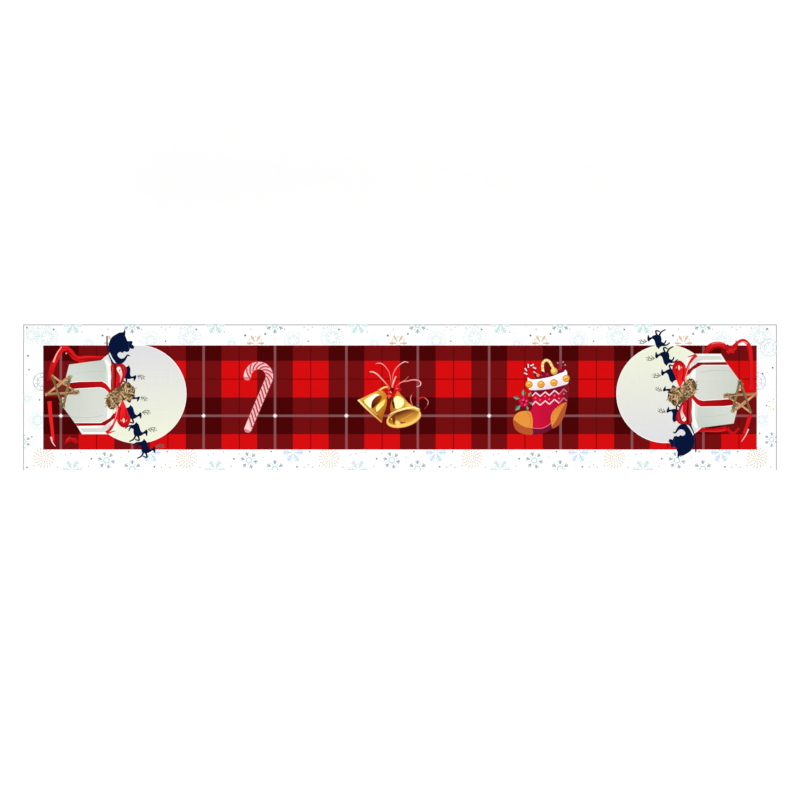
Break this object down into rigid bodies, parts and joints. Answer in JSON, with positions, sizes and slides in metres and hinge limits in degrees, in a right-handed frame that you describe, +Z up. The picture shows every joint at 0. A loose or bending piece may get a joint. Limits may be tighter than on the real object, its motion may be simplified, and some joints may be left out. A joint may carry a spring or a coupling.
{
  "type": "table runner",
  "caption": "Long narrow fabric table runner with a stitched hem all round, whose ends hang over a table and which folds in half.",
  "frame": {"origin": "middle of the runner's length and width, on the surface it lies on", "axes": "+X along the length towards the right end, +Y across towards the back edge, +Z up out of the printed face"},
  "size_m": [1.83, 0.355, 0.0016],
  "materials": {
    "printed_cloth": "matt plain weave with a red tartan print, white border and winter motifs, white on the back",
    "hem_cloth": "matt plain weave, white",
    "sewing_thread": "grey-white spun polyester thread",
    "label_satin": "blank white satin tape"
  },
  "bodies": {
    "left_end": {"cloth_left_end": "printed_cloth", "front_hem_left_end": "hem_cloth", "back_hem_left_end": "hem_cloth", "front_seam_left_end": "sewing_thread", "back_seam_left_end": "sewing_thread", "left_end_hem": "hem_cloth", "left_end_seam": "sewing_thread"},
    "centre_left": {"cloth_centre_left": "printed_cloth", "front_hem_centre_left": "hem_cloth", "back_hem_centre_left": "hem_cloth", "front_seam_centre_left": "sewing_thread", "back_seam_centre_left": "sewing_thread"},
    "centre_right": {"cloth_centre_right": "printed_cloth", "front_hem_centre_right": "hem_cloth", "back_hem_centre_right": "hem_cloth", "front_seam_centre_right": "sewing_thread", "back_seam_centre_right": "sewing_thread"},
    "right_end": {"cloth_right_end": "printed_cloth", "front_hem_right_end": "hem_cloth", "back_hem_right_end": "hem_cloth", "front_seam_right_end": "sewing_thread", "back_seam_right_end": "sewing_thread", "right_end_hem": "hem_cloth", "right_end_seam": "sewing_thread", "care_label": "label_satin"}
  },
  "joints": [
    {"name": "left_drop", "type": "hinge", "parent": "centre_left", "child": "left_end", "pos_m": [-0.61, 0, 0.00185], "axis": [0, 1, 0], "range_deg": [-90, 179.97]},
    {"name": "right_drop", "type": "hinge", "parent": "centre_right", "child": "right_end", "pos_m": [0.61, 0, 0.00185], "axis": [0, -1, 0], "range_deg": [-90, 179.97]},
    {"name": "half_fold", "type": "hinge", "parent": "centre_left", "child": "centre_right", "pos_m": [0, 0, 0.0039], "axis": [0, -1, 0], "range_deg": [0, 179.97]}
  ]
}
